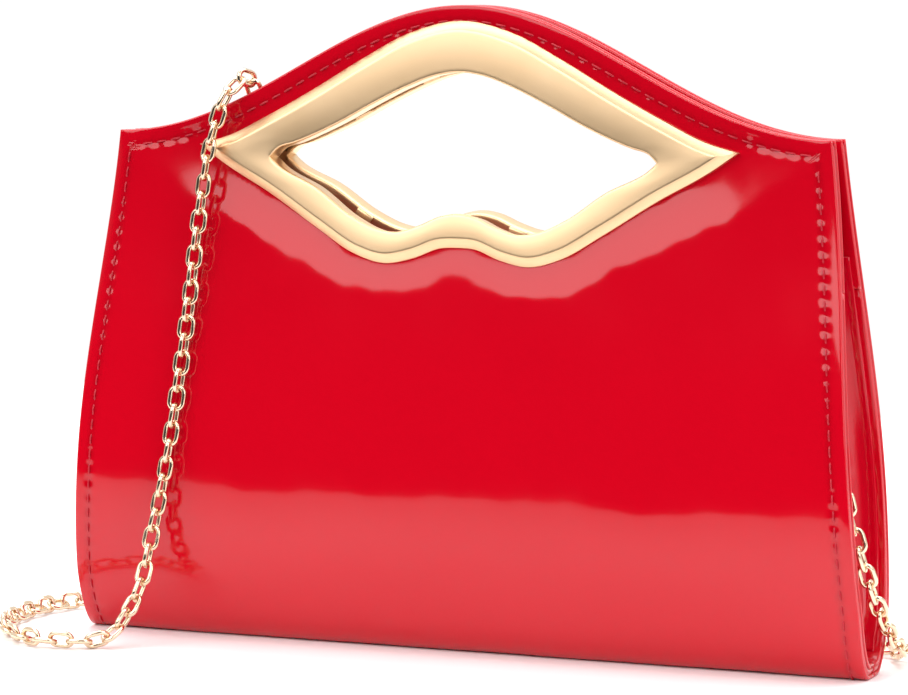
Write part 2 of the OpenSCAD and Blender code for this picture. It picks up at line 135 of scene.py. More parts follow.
def points_with_turns(name, places, turns):
    mesh = bpy.data.meshes.new(name)
    mesh.from_pydata([tuple(p) for p in places], [], [])
    turn = mesh.attributes.new("turn", "QUATERNION", "POINT")
    turn.data.foreach_set("value", np.array([tuple(q) for q in turns], np.float32).ravel())
    piece = bpy.data.objects.new(name, mesh)
    bpy.context.collection.objects.link(piece)
    return piece


class Reading:
    """One output of a node. It takes part in sums as a number does."""

    def __init__(self, bench, socket):
        self.bench, self.socket = bench, socket

    def sum(self, operation, first, second):
        return self.bench.node("ShaderNodeMath", {"operation": operation}, {0: first, 1: second})

    def __add__(self, other):
        return self.sum("ADD", self, other)

    def __radd__(self, other):
        return self.sum("ADD", other, self)

    def __sub__(self, other):
        return self.sum("SUBTRACT", self, other)

    def __rsub__(self, other):
        return self.sum("SUBTRACT", other, self)

    def __mul__(self, other):
        return self.sum("MULTIPLY", self, other)

    def __truediv__(self, other):
        return self.sum("DIVIDE", self, other)


class Bench:
    """A node tree being built: a finish, or a shape that repeats."""

    def __init__(self, tree):
        self.tree = tree

    def node(self, kind, settings=None, sockets=None, out=0):
        made = self.tree.nodes.new(kind)
        for name, value in (settings or {}).items():
            setattr(made, name, value)
        for name, value in (sockets or {}).items():
            if isinstance(value, Reading):
                self.tree.links.new(value.socket, made.inputs[name])
            else:
                made.inputs[name].default_value = value
        return Reading(self, made.outputs[out])

    def one(self, operation, value):
        """A sum on a single value, such as its cosine."""
        return self.node("ShaderNodeMath", {"operation": operation}, {0: value})

    def noise(self, where, scale, detail):
        return self.node("ShaderNodeTexNoise", None, {
            "Vector": where, "Scale": scale, "Detail": detail})

    def blend(self, share, low, high):
        """A colour between low and high; each is three numbers or another node's colour."""
        made = self.tree.nodes.new("ShaderNodeMix")
        made.data_type = "RGBA"
        self.tree.links.new(share.socket, made.inputs[0])
        for place, color in ((6, low), (7, high)):
            if isinstance(color, Reading):
                self.tree.links.new(color.socket, made.inputs[place])
            else:
                made.inputs[place].default_value = (*color, 1)
        return Reading(self, made.outputs[2])

    def relief(self, height):
        """A bump of a height given in millimetres."""
        return self.node("ShaderNodeBump", None, {"Height": height, "Distance": 0.001})


def new_finish(name):
    """An empty material, its bench, and the place on the piece that its patterns read."""
    material = bpy.data.materials.new(name)
    material.use_nodes = True
    material.node_tree.nodes.clear()
    bench = Bench(material.node_tree)
    return material, bench, bench.node("ShaderNodeTexCoord", out="Object")


def surfaced(bench, **sockets):
    """Ends a finish: its shader, with the named sockets set or linked."""
    words = {name.replace("_", " "): value for name, value in sockets.items()}
    if "Base Color" in words and not isinstance(words["Base Color"], Reading):
        words["Base Color"] = (*words["Base Color"], 1)
    shader = bench.node("ShaderNodeBsdfPrincipled", None, words)
    end = bench.tree.nodes.new("ShaderNodeOutputMaterial")
    bench.tree.links.new(shader.socket, end.inputs["Surface"])


lean_from = 0.118


def plated(name, color, roughness, lean=0.0):
    """Polished plate with faint handling marks in its gloss. lean isn't a real shape: it tilts
    the shading more with the height above lean_from, so that a tall face is lit evenly."""
    material, bench, where = new_finish(name)
    cloud = bench.noise(where, 55, 2)
    above = bench.node("ShaderNodeSeparateXYZ", None, {"Vector": where}, out="Z") - lean_from
    marks = bench.noise(bench.node("ShaderNodeMapping", None, {
        "Vector": where, "Rotation": (0.4, 0.2, 0.7), "Scale": (900, 190, 190)}), 1, 2)
    deeper = tuple(c * f for c, f in zip(color, (0.93, 0.88, 0.8)))
    surfaced(bench, Base_Color=bench.blend(cloud, deeper, color), Metallic=1.0,
             Roughness=roughness + cloud * 0.05 + marks * 0.02,
             Normal=bench.relief(cloud * 0.03 + above * above * (lean * -1000)))
    return material


def repeated(name, sizes, shape, finish):
    """A tree that sets one shape on every point of a mesh, turned as the point says."""
    tree = bpy.data.node_groups.new(name, "GeometryNodeTree")
    tree.interface.new_socket("Points", in_out="INPUT", socket_type="NodeSocketGeometry")
    sockets = {size: tree.interface.new_socket(size, in_out="INPUT", socket_type="NodeSocketFloat")
               for size in sizes}
    tree.interface.new_socket("Pieces", in_out="OUTPUT", socket_type="NodeSocketGeometry")
    bench = Bench(tree)
    given = tree.nodes.new("NodeGroupInput")
    one = shape(bench, {size: Reading(bench, given.outputs[size]) for size in sizes})
    turn = bench.node("GeometryNodeInputNamedAttribute", {"data_type": "QUATERNION"},
                      {"Name": "turn"})
    each = bench.node("GeometryNodeInstanceOnPoints", None, {
        "Points": Reading(bench, given.outputs["Points"]), "Instance": one, "Rotation": turn})
    real = bench.node("GeometryNodeRealizeInstances", None, {"Geometry": each})
    painted = bench.node("GeometryNodeSetMaterial", None, {"Geometry": real, "Material": finish})
    out = tree.nodes.new("NodeGroupOutput")
    tree.links.new(painted.socket, out.inputs["Pieces"])
    return tree, {size: socket.identifier for size, socket in sockets.items()}


def made_of_repeats(piece, tree, names, sizes):
    """Runs the tree on the piece's points and leaves a plain, smooth mesh with closed solids."""
    modifier = piece.modifiers.new("repeats", "NODES")
    modifier.node_group = tree
    for size, value in sizes.items():
        modifier[names[size]] = value
    bpy.context.view_layer.update()
    plain = bpy.data.meshes.new_from_object(
        piece.evaluated_get(bpy.context.evaluated_depsgraph_get()))
    piece.modifiers.remove(modifier)
    piece.data = plain
    work = bmesh.new()
    work.from_mesh(plain)
    bmesh.ops.remove_doubles(work, verts=work.verts, dist=1e-7)
    bmesh.ops.recalc_face_normals(work, faces=work.faces)
    for face in work.faces:
        face.smooth = True
    work.to_mesh(plain)
    work.free()
    return piece


def oval_link(bench, size):
    across = size["Width"] - size["Wire"]
    oval = bench.node("GeometryNodeCurvePrimitiveQuadrilateral", None, {
        "Width": size["Length"] - size["Wire"], "Height": across})
    oval = bench.node("GeometryNodeFilletCurve", {"mode": "POLY"}, {
        "Curve": oval, "Count": 4, "Radius": across * 0.49})
    wire = bench.node("GeometryNodeCurvePrimitiveCircle", {"mode": "RADIUS"}, {
        "Resolution": 8, "Radius": size["Wire"] / 2})
    return bench.node("GeometryNodeCurveToMesh", None, {"Curve": oval, "Profile Curve": wire})


pale_gold = plated("pale_gold", (0.84, 0.67, 0.5), 0.13)
chain_line, place = smooth_line(route, 0.001)
steps = np.linalg.norm(np.diff(chain_line, axis=0), axis=1)
reach = np.concatenate([[0], np.cumsum(steps)])
end_play = 0.0008
link_count = round((reach[-1] - 2 * end_play) / link_pitch) // 2 * 2 + 1
stations = np.linspace(end_play, reach[-1] - end_play, link_count)
centres = np.stack([np.interp(stations, reach, chain_line[:, k]) for k in range(3)], axis=1)
where_on = np.interp(stations, reach, place)
outward = np.stack([np.interp(where_on, range(len(route)), lies_on[:, k]) for k in range(3)],
                   axis=1)
half_span = 0.0028
ahead = np.stack([np.interp(stations + half_span, reach, chain_line[:, k])
                  - np.interp(stations - half_span, reach, chain_line[:, k])
                  for k in range(3)], axis=1)
luck = np.random.default_rng(4)
edge_on = np.arange(link_count) % 2 == 0
on_floor = centres[:, 2] < 0.0036
# Every other link stands on edge. On the floor they topple towards the flat.
turned = np.where(on_floor, np.where(edge_on, 72, 16), np.where(edge_on, 90, 4))
lean = np.radians(luck.normal(0, 7, link_count) + turned)
lean[[0, -1]] = math.pi / 2
along = unit(ahead)
flat = unit(outward - along * np.sum(outward * along, axis=1, keepdims=True))
upright = np.cross(along, flat)
facing = flat * np.cos(lean)[:, None] + upright * np.sin(lean)[:, None]
half_height = ((link_width - link_wire) * np.abs(np.sin(lean)) + link_wire) / 2
centres[:, 2] = np.where(on_floor, np.maximum(half_height, 0.0023) + 0.0003, centres[:, 2])
chain = points_with_turns("chain_links", centres, turns_from(along, facing))
tree, names = repeated("chain_links", ["Length", "Width", "Wire"], oval_link, pale_gold)
made_of_repeats(chain, tree, names, {"Length": link_length, "Width": link_width, "Wire": link_wire})
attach(chain, "bag")
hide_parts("chain")

# ---- Outer leather ------------------------------------------------------------------------------
# One piece of red patent leather, glued over the boards: up the front, round the base and up the
# back, with its cut edges rounded and painted. The back half, which bends at a living hinge, is
# built as a fixed piece of its own.
base_radius, belly, corner_height, foot = 0.017, 0.06, 0.168, 0.004
bag_width, wide_height, top_width, side_bow, peak = 0.273, 0.02, 0.247, 0.001, 0.2095
fullest, thin_top = 0.042, 0.0155
arc = np.radians(np.linspace(0, 90, 120))
rise = np.linspace(belly, 0.225, 260)[1:]
lean_in = np.minimum(1, (rise - belly) / (corner_height - belly))
profile_y = np.concatenate([np.linspace(0, foot, 6)[:-1], foot + base_radius * np.sin(arc),
                            (fullest - (fullest - thin_top) * lean_in**2 * (3 - 2 * lean_in)) / 2])
profile_z = np.concatenate([np.zeros(5), belly * (1 - np.cos(arc)), rise])
profile_reach = np.concatenate([[0], np.cumsum(np.hypot(np.diff(profile_y), np.diff(profile_z)))])
slope_y, slope_z = np.gradient(profile_y, profile_reach), np.gradient(profile_z, profile_reach)


def reach_of(z):
    return np.interp(z, profile_z[5:], profile_reach[5:])


def height_of(up):
    return np.interp(up, profile_reach, profile_z)


def half_width(z):
    u = np.clip((z - wide_height) / (corner_height - wide_height), 0, 1)
    return bag_width / 2 + (top_width - bag_width) / 2 * u + side_bow * 4 * u * (1 - u)


def top_edge(x):
    a = np.minimum(math.pi, math.pi * np.abs(x) / (top_width / 2))
    return corner_height + (peak - corner_height) * ((1 + np.cos(a)) / 2 - 0.03 * np.sin(a)**2)


def lay(side, x, up, depth):
    """Points of the bag's wall, front at side -1 and back at 1: x across, up along the profile from
    the middle of the base, depth into the wall."""
    ny = np.interp(up, profile_reach, slope_z)
    nz = np.interp(up, profile_reach, slope_y)
    y = np.interp(up, profile_reach, profile_y) - depth * ny
    z = np.interp(up, profile_reach, profile_z) + depth * nz
    return np.stack([x, side * y, z], axis=-1)


def closed_shell(name, layers, quads, swell, values=None):
    """A solid skin from layers of the same points. Its free edges swell out and are rounded."""
    count, ends = len(layers[0]), len(layers) - 1
    used = {}
    for quad in quads:
        for a, b in zip(quad, quad[1:] + quad[:1]):
            used[(a, b)] = used.get((a, b), 0) + 1
    rim = [edge for edge in used if edge[::-1] not in used]
    points = [layers[0], layers[-1]]
    chain_of, extra = {}, []
    source = list(range(count)) * 2
    for v in {v for edge in rim for v in edge}:
        between = []
        for k in range(1, ends):
            between.append(2 * count + len(extra))
            extra.append(layers[k][v] + swell[v] * math.sin(math.pi * k / ends))
            source.append(v)
        chain_of[v] = [v, *between, count + v]
    faces = list(quads) + [tuple(count + v for v in reversed(quad)) for quad in quads]
    for a, b in rim:
        for k in range(ends):
            faces.append((chain_of[b][k], chain_of[a][k], chain_of[a][k + 1], chain_of[b][k + 1]))
    if extra:
        points.append(np.array(extra))
    points = np.concatenate(points)
    kept = sorted({v for face in faces for v in face})
    number = {v: i for i, v in enumerate(kept)}
    mesh = bpy.data.meshes.new(name)
    mesh.from_pydata(points[kept].tolist(), [], [tuple(number[v] for v in face) for face in faces])
    for label, numbers in (values or {}).items():
        layer = mesh.attributes.new(label, "FLOAT", "POINT")
        layer.data.foreach_set("value", np.asarray(numbers, np.float32)[np.array(source)[kept]])
    mesh.shade_smooth()
    mesh.update()
    piece = bpy.data.objects.new(name, mesh)
    bpy.context.collection.objects.link(piece)
    work = bmesh.new()
    work.from_mesh(mesh)
    if work.calc_volume(signed=True) < 0:
        bmesh.ops.reverse_faces(work, faces=work.faces)
        work.to_mesh(mesh)
    work.free()
    return piece


def grid_quads(rows, columns):
    return [(r * columns + c, r * columns + c + 1, (r + 1) * columns + c + 1, (r + 1) * columns + c)
            for r in range(rows - 1) for c in range(columns - 1)]


def edge_line(inset):
    """The wall's outline on its unrolled surface, from the base's middle up the right side, over
    the top and down the left side, moved inward; and how far along it each point is."""
    up = np.linspace(0, reach_of(corner_height), 400)
    side = np.stack([half_width(height_of(up)), up], axis=1)
    x = np.linspace(top_width / 2, -top_width / 2, 500)
    arch = np.stack([x, reach_of(top_edge(x))], axis=1)
    if inset:
        side, arch = [line + inset * unit(np.gradient(line, axis=0)) @ ((0, 1), (-1, 0))
                      for line in (side, arch)]
        side = side[side[:, 1] < np.interp(side[:, 0], arch[::-1, 0], arch[::-1, 1]) - 1e-5]
        arch = arch[np.abs(arch[:, 0]) < side[-1, 0] - 1e-5]
    line = np.concatenate([side, arch, side[::-1] * (-1, 1)])
    far = np.concatenate([[0], np.cumsum(np.linalg.norm(np.diff(line, axis=0), axis=1))])
    return line, far


def nearest_on(line, far, points):
    """How far each point is from a line, and how far along the line its nearest place is."""
    gap, at = np.full(len(points), 9.0), np.zeros(len(points))
    step = max(1, len(line) // 500)
    for start, end, run in zip(line[:-1:step], line[step::step], far[:-1:step]):
        way = end - start
        t = np.clip((points - start) @ way / (way @ way), 0, 1)
        away = np.linalg.norm(points - start - t[:, None] * way, axis=1)
        nearer = away < gap
        gap, at = np.where(nearer, away, gap), np.where(nearer, run + t * np.linalg.norm(way), at)
    return gap, at


# Each outline runs from the middle of its top edge round the tip to the middle of its lower edge,
# as a share of the half width and a share of the rise or of the drop.
lip_width, lip_rise, lip_drop = 0.187, 0.0408, 0.0374
hole_width, hole_rise, hole_drop, hole_lower = 0.134, 0.0276, 0.024, 0.0033
lip_top = [(0, 1), (0.185, 0.91), (0.366, 0.703), (0.553, 0.458), (0.737, 0.235), (0.885, 0.075),
           (1, 0)]
lip_low = [(1, 0), (0.9, -0.17), (0.72, -0.42), (0.526, -0.722), (0.38, -0.93), (0.27, -1),
           (0.16, -0.95), (0.06, -0.86), (0, -0.853)]
hole_top = [(0, 1), (0.12, 0.96), (0.27, 0.83), (0.45, 0.625), (0.64, 0.385), (0.87, 0.15),
            (0.96, 0.08), (1, -0.02)]
hole_low = [(1, -0.02), (0.96, -0.12), (0.75, -0.42), (0.55, -0.8), (0.42, -0.96), (0.32, -1),
            (0.2, -0.91), (0.09, -0.78), (0, -0.74)]
tips_at = peak - 0.005 - lip_rise


def branch(shares, width, rise_by, drop_by, z):
    """One branch of an outline, level where it crosses the middle."""
    points = np.array([(a * width / 2, z + b * (rise_by if b > 0 else drop_by)) for a, b in shares])
    if shares[0][0] == 0:
        line = smooth_line(np.concatenate([[points[1] * (-1, 1)], points]), 0.0006)[0]
    else:
        line = smooth_line(np.concatenate([points, [points[-2] * (-1, 1)]]), 0.0006)[0]
    return line[line[:, 0] > -1e-9]


lip = [branch(s, lip_width, lip_rise, lip_drop, tips_at) for s in (lip_top, lip_low)]
hole = [branch(s, hole_width, hole_rise, hole_drop, tips_at - hole_lower)
        for s in (hole_top, hole_low)]


def whole(pair):
    """Two branches and their mirror images, as one closed outline."""
    half = np.concatenate([pair[0], pair[1][1:]])
    return np.concatenate([half, half[-2::-1] * (-1, 1)])


def inside(polygon, points):
    hit = np.zeros(len(points), bool)
    x, z = points.T
    for (x1, z1), (x2, z2) in zip(polygon, np.roll(polygon, -1, axis=0)):
        crosses = (z1 > z) != (z2 > z)
        hit ^= crosses & (x < (x2 - x1) * (z - z1) / (z2 - z1 + 1e-12) + x1)
    return hit


def outside_by(pair, points):
    """Distance outside an outline; negative inside it."""
    polygon = whole(pair)
    gap = nearest_on(polygon, np.zeros(len(polygon)), points)[0]
    return np.where(inside(polygon, points), -gap, gap)


def wall_piece(name, side, low, high_line, depths, rim, cut=None, snap=False, soft=None,
               spacing=0.002):
    """A skin of the wall, between two heights of the unrolled surface or up to the top edge.
    depths are its two faces, rim how much its edge swells, cut an outline left open and the
    margin round it, snap whether the skin is fitted to that outline, and soft how its outer face
    sinks."""
    columns = int(bag_width / spacing) // 2 * 2 + 1
    share = np.linspace(-1, 1, columns)
    share = share * (1 - 0.02 * (1 - np.abs(share)**8))
    share /= np.abs(share[0])
    edge, far = edge_line(0)
    if high_line is None:
        top_x = share * (top_width / 2 - rim)
        high = reach_of(top_edge(top_x)) - rim
    else:
        high = np.full(columns, high_line)
    rows = int((high.max() - low) / spacing) + 1
    up = low + np.linspace(0, 1, rows)[:, None] * (high - low)[None, :]
    x = share[None, :] * (half_width(height_of(up)) - rim)
    flat_points = np.stack([x.ravel(), up.ravel()], axis=1)
    sink = soft(flat_points) if soft else 0
    quads = grid_quads(rows, columns)
    swell = np.zeros((rows, columns, 3))
    swell[:, 0, 0], swell[:, -1, 0] = -rim, rim
    if high_line is None:
        slope = np.gradient(high, top_x)
        swell[-1, :, 0], swell[-1, :, 2] = -slope * rim, rim
        swell[-1, 0, 0], swell[-1, -1, 0] = -rim * 0.8, rim * 0.8
    swell = swell.reshape(-1, 3)
    if cut is not None:
        z = height_of(flat_points[:, 1])
        at = np.stack([flat_points[:, 0], z], axis=1)
        pair, margin = cut
        away = outside_by(pair, at) - margin
        if snap:
            polygon = whole(pair)
            near = np.abs(away) < spacing * 0.55
            e = 1e-5
            gx = outside_by(pair, at[near] + (e, 0)) - outside_by(pair, at[near] - (e, 0))
            gz = outside_by(pair, at[near] + (0, e)) - outside_by(pair, at[near] - (0, e))
            grad = unit(np.stack([gx, gz], axis=1) + 1e-12)
            flat_points[near] -= grad * away[near][:, None]
            away[near] = 0
        kept = []
        for quad in quads:
            out = [v for v in quad if away[v] > -1e-9]
            if len(out) == 4:
                kept.append(quad)
            elif len(out) == 3 and snap:
                kept.append(tuple(out))
        quads = kept
    gap, at = nearest_on(edge, far, flat_points)
    layers = []
    for k in range(7):
        share_in = (1 - math.cos(math.pi * k / 6)) / 2
        depth = depths[0] + sink + (depths[1] - depths[0] - sink) * share_in
        layers.append(lay(side, flat_points[:, 0], flat_points[:, 1], depth))
    if side > 0:
        quads = [q[::-1] for q in quads]
    return closed_shell(name, layers, quads, swell, {"seam_off": gap, "seam_along": at})


stitch_inset, stitch_pitch = 0.005, 0.005


def patent(name, color, puckers=True):
    """Patent leather: a deep colour with a clear gloss that is never quite flat, and puckers that
    follow each stitch along the seam; painted shade darkens the colour in the seam's groove."""
    material, bench, where = new_finish(name)
    drift = bench.noise(where, 16, 1)
    peel = bench.noise(where, 420, 2)
    haze = bench.noise(where, 38, 3)
    height = drift * 0.16 + peel * 0.0035
    shade = bench.blend(haze, tuple(c * 0.95 for c in color), color)
    if puckers:
        off = bench.node("ShaderNodeAttribute", {"attribute_name": "seam_off"}, out="Fac")
        run = bench.node("ShaderNodeAttribute", {"attribute_name": "seam_along"}, out="Fac")
        beside = (off - stitch_inset) / 0.0013
        dip = bench.one("EXPONENT", beside * beside * -1)
        wave = bench.one("COSINE", run * (2 * math.pi / stitch_pitch))
        uneven = bench.noise(where, 170, 1)
        height = height - dip * (0.3 + wave * 0.3 + uneven * 0.6) * 0.26
        # Painted shade: the base colour is darkened along the stitch groove, where shade falls in
        # the dip.
        shade = bench.blend(dip * 0.55, shade, tuple(c * 0.72 for c in color))
    surfaced(bench, Base_Color=shade, Roughness=0.045 + haze * 0.06, IOR=1.5,
             Normal=bench.relief(height))
    return material


patent_red = patent("patent_red", (0.57, 0.0, 0.01))


drawn_width, swollen = 0.014, 0.0007
pull_line = np.concatenate([lip[1][::-1], [(0.118, tips_at + 0.0175)]])


def sinks(points):
    """How far the outer leather lies below its ideal surface. It is drawn in along the lower edge
    of the lip frame and on past its tips, a little full below that, and faintly wavy all over."""
    across, z = points[:, 0], height_of(points[:, 1])
    x = np.abs(across)
    gap = nearest_on(pull_line, np.zeros(len(pull_line)), np.stack([x, z], axis=1))[0]
    below = z < np.interp(x, pull_line[:, 0], pull_line[:, 1])
    gap = np.where(below, gap, 0)
    outer_part = np.clip((x - 0.035) / 0.065, 0, 1)
    width = drawn_width * (0.75 + 0.5 * outer_part)
    ragged = 0.0006 * np.sin(x * 230 + 2) + 0.0004 * np.sin(x * 610)
    drawn = (0.0006 + 0.0014 * outer_part) * np.clip(1 - (gap + ragged) / width, 0, 1)**1.2
    full = swollen * np.clip((z - 0.055) / 0.08, 0, 1)
    from_edge = np.minimum(half_width(z) - x, top_edge(x) - z)
    at_edge = np.clip(from_edge / 0.005, 0, 1)
    at_edge = at_edge * at_edge * (3 - 2 * at_edge)
    broad = np.sin(across * 71 + 1.3 + 2 * np.sin(z * 40)) * np.sin(z * 93 + 0.4 + across * 17)
    wavy = 0.00009 * (broad + 0.6 * np.sin(across * 143 + z * 61)
                      + 0.2 * np.sin(across * 410 + z * 90))
    return (drawn - full + wavy) * at_edge


leather_thick, leather_rim, under_frame = 0.0015, 0.0006, 0.0035
outer_front, outer_back = [
    wall_piece(f"outer_leather_{label}", side, 0, None, (0, leather_thick), leather_rim,
               cut=(hole, under_frame), soft=sinks)
    for side, label in ((-1, "front"), (1, "back"))]
for piece in (outer_front, outer_back):
    piece.data.materials.append(patent_red)
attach(outer_front, "bag")
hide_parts("front_leather", "base_leather")
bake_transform(outer_back)
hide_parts("back_leather")

# ---- Boards -------------------------------------------------------------------------------------
# Pressed grey-brown fibre boards stiffen both panels and the base. They are glued between the
# leather and the lining and stop short of the edge.
fibre, bench, where = new_finish("fibre_board")
flecks = bench.noise(where, 900, 3)
surfaced(bench, Base_Color=bench.blend(flecks, (0.24, 0.2, 0.16), (0.42, 0.37, 0.31)),
         Roughness=0.82 + flecks * 0.1, Normal=bench.relief(flecks * 0.08))


def refinish(node, material):
    """Gives a piece carried over from CAD its finish."""
    mesh = frame["nodes"][node].data
    if not mesh.materials:
        mesh.materials.append(material)
    for k in range(len(mesh.materials)):
        mesh.materials[k] = material


for node in ("front_board", "back_board", "base_board"):
    refinish(node, fibre)

# ---- Facings and linings ------------------------------------------------------------------------
# Inside, the upper part of each panel is faced with the same patent leather, cut out round the
# frame's backing ring. Below it a dark red twill lining runs down and across the base, bordered at
# the sides by the leather that is turned in.
twill, bench, where = new_finish("lining_twill")
ribs = bench.node("ShaderNodeTexWave", {"bands_direction": "DIAGONAL"}, {
    "Vector": where, "Scale": 620, "Distortion": 0.6, "Detail": 1}, out="Fac")
yarn = bench.noise(where, 1500, 2)
surfaced(bench, Base_Color=bench.blend(ribs, (0.13, 0.003, 0.012), (0.27, 0.008, 0.028)),
         Roughness=0.5 + yarn * 0.25, Sheen_Weight=0.35,
         Normal=bench.relief(ribs * 0.06 + yarn * 0.04))

facing_up, lining_depths, turned_in = reach_of(0.122), (0.0035, 0.005), 0.011


def inset_pair(pair, by):
    """An outline's two branches moved inward, and cut where they meet at the tip."""
    moved = []
    for line in pair:
        way = unit(np.gradient(line, axis=0))
        moved.append(line + by * np.stack([way[:, 1], -way[:, 0]], axis=1))
    top, low = moved
    if by > 0:
        grid = np.linspace(0.05, lip_width / 2, 4000)
        order_t, order_l = np.argsort(top[:, 0]), np.argsort(low[:, 0])
        gap = (np.interp(grid, top[order_t, 0], top[order_t, 1])
               - np.interp(grid, low[order_l, 0], low[order_l, 1]))
        crossed = grid[np.argmax(gap < 0)] if (gap < 0).any() else 9
        meet = np.array([crossed, np.interp(crossed, top[order_t, 0], top[order_t, 1])])
        if crossed < 9:
            top = np.concatenate([top[top[:, 0] < crossed - 1e-5], [meet]])
            low = np.concatenate([[meet], low[low[:, 0] < crossed - 1e-5]])
    top[0, 0] = low[-1, 0] = 0
    return [top, low]


ring_outline = inset_pair(lip, 0.004)
for side, label in ((-1, "front"), (1, "back")):
    facing = wall_piece(f"facing_{label}", side, facing_up, None, lining_depths, 0.0005,
                        cut=(ring_outline, 0.0002), snap=True)
    facing.data.materials.append(patent_red)
    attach(facing, "bag" if side < 0 else "back_panel")
    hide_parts(f"{label}_facing")
    lining = wall_piece(f"lining_{label}", side, 0, facing_up - 0.0003, lining_depths, 0.0005,
                        spacing=0.004)
    lining.data.materials.append(twill)
    lining.data.materials.append(patent_red)
    for face in lining.data.polygons:
        if abs(face.center.x) > half_width(face.center.z) - turned_in:
            face.material_index = 1
    if side < 0:
        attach(lining, "bag")
        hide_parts("front_lining", "base_lining")
    else:
        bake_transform(lining)
        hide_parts("back_lining")

# ---- Painted edges ------------------------------------------------------------------------------
# Between the leather and the facing the cut edge is filled with thick glossy paint, in several
# coats, so that the wall's edge shows as two rounded leathers with a shallow channel between.
edge_paint = patent("edge_paint", (0.56, 0.0, 0.012), puckers=False)


def along_edge(inset, spacing):
    """The wall's outline moved inward, in even steps."""
    line, far = edge_line(inset)
    at = np.linspace(0, far[-1], int(far[-1] / spacing) + 1)
    return np.stack([np.interp(at, far, line[:, k]) for k in (0, 1)], axis=1)


for side, label in ((-1, "front"), (1, "back")):
    outer, inner = along_edge(0.0006, 0.0022), along_edge(0.0035, 0.0022)
    n = len(outer)
    t = np.linspace(0, 1, len(inner))
    inner = np.stack([np.interp(np.linspace(0, 1, n), t, inner[:, k]) for k in (0, 1)], axis=1)
    both = np.concatenate([inner, outer])
    layers = [lay(side, both[:, 0], both[:, 1], d) for d in np.linspace(0.00145, 0.00355, 5)]
    quads = [(k, k + 1, n + k + 1, n + k) for k in range(n - 1)]
    swell = np.zeros((2 * n, 3))
    way = unit(np.gradient(outer, axis=0))
    swell[n:, 0], swell[n:, 2] = way[:, 1] * 0.0004, -way[:, 0] * 0.0004
    strip = closed_shell(f"edge_paint_{label}", layers, quads, swell)
    strip.data.materials.append(edge_paint)
    if side < 0:
        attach(strip, "bag")
    else:
        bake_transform(strip)

# ---- Gussets ------------------------------------------------------------------------------------
# Soft patent leather folded in a V closes each side. Its edges are turned out flat and sewn to the
# panels; it crumples near its foot, and its top is hemmed.
crumpled = patent("patent_gusset", (0.6, 0.0, 0.014), puckers=False)
gusset_top, gusset_foot, leaf, gusset_thick = 0.131, 0.007, 0.021, 0.001
levels, across = 90, 44
for side, label in ((-1, "left"), (1, "right")):
    z = np.linspace(gusset_foot, gusset_top, levels)
    e = np.interp(z, profile_z[5:], profile_y[5:]) - 0.0054
    ramp = 0.002 + 0.014 * np.clip((z - gusset_foot) / 0.038, 0, 1)
    fold = np.minimum(np.sqrt(np.maximum(4e-6, leaf**2 - e**2)), np.where(z < 0.06, ramp, leaf))
    seam = half_width(z) - 0.0055
    points = []
    for k in range(levels):
        lip_out = seam[k] + 0.0035
        corner = np.array([
            (lip_out, -e[k]), (seam[k] + 0.0008, -e[k]), (seam[k] - 0.0012, -e[k] + 0.0009),
            (seam[k] - fold[k] * 0.5, -e[k] * 0.42), (seam[k] - fold[k] + 0.0006, -0.0009),
            (seam[k] - fold[k], 0)])
        path = np.concatenate([corner, corner[-2::-1] * (1, -1)])
        line = smooth_line(path, 0.0006)[0]
        far = np.concatenate([[0], np.cumsum(np.linalg.norm(np.diff(line, axis=0), axis=1))])
        at = np.linspace(0, far[-1], across)
        xs, ys = np.interp(at, far, line[:, 0]), np.interp(at, far, line[:, 1])
        s = at / far[-1]
        soft = np.sin(math.pi * np.clip((s - 0.12) / 0.76, 0, 1))
        low = np.exp(-(z[k] - gusset_foot) / 0.03)
        crease = soft * (0.00032 * np.sin(z[k] * 340 + 5 * s + side) * np.sin(9 * s + z[k] * 90)
                         + (0.0002 + 0.0008 * low) * np.sin(z[k] * 720 + 11 * s + 2 * side))
        points.append(np.stack([side * (xs + crease * 0.7), ys + crease * np.sign(ys) * 0.5,
                                np.full(across, z[k])], axis=1))
    grid = np.array(points)
    du, dv = np.gradient(grid, axis=0), np.gradient(grid, axis=1)
    normal = unit(np.cross(du, dv))
    layers = [(grid + normal * gusset_thick * (0.5 - k / 6)).reshape(-1, 3) for k in range(7)]
    swell = np.zeros((levels, across, 3))
    swell[-1, :, 2] = 0.0004
    piece = closed_shell(f"gusset_skin_{label}", layers, grid_quads(levels, across),
                         swell.reshape(-1, 3))
    piece.data.materials.append(crumpled)
    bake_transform(piece)
    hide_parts(f"gusset_{label}")

# ---- Stitching ----------------------------------------------------------------------------------
# Red thread, a saddle of short stitches five millimetres apart, runs round each panel five
# millimetres inside its edge, and shows on the leather and on the facing behind it.
thread, bench, where = new_finish("red_thread")
ply = bench.noise(where, 2600, 2)
surfaced(bench, Base_Color=bench.blend(ply, (0.34, 0.0, 0.01), (0.62, 0.01, 0.03)),
         Roughness=0.3 + ply * 0.25, Normal=bench.relief(ply * 0.05))


def short_stitch(bench, size):
    """A thread that dips into the leather at both ends."""
    half = size["Length"] / 2

    def at(x, z):
        return bench.node("ShaderNodeCombineXYZ", None, {"X": x, "Z": z})

    bow = bench.node("GeometryNodeCurvePrimitiveBezierSegment", {"mode": "OFFSET"}, {
        "Resolution": 6, "Start": at(half * -1, size["Thickness"] * -0.55),
        "Start Handle": at(half * 0.3, size["Thickness"] * 1.3),
        "End Handle": at(half * -0.3, size["Thickness"] * 1.3),
        "End": at(half, size["Thickness"] * -0.55)})
    round_thread = bench.node("GeometryNodeCurvePrimitiveCircle", {"mode": "RADIUS"}, {
        "Resolution": 6, "Radius": size["Thickness"] / 2})
    return bench.node("GeometryNodeCurveToMesh", None, {
        "Curve": bow, "Profile Curve": round_thread, "Fill Caps": True})


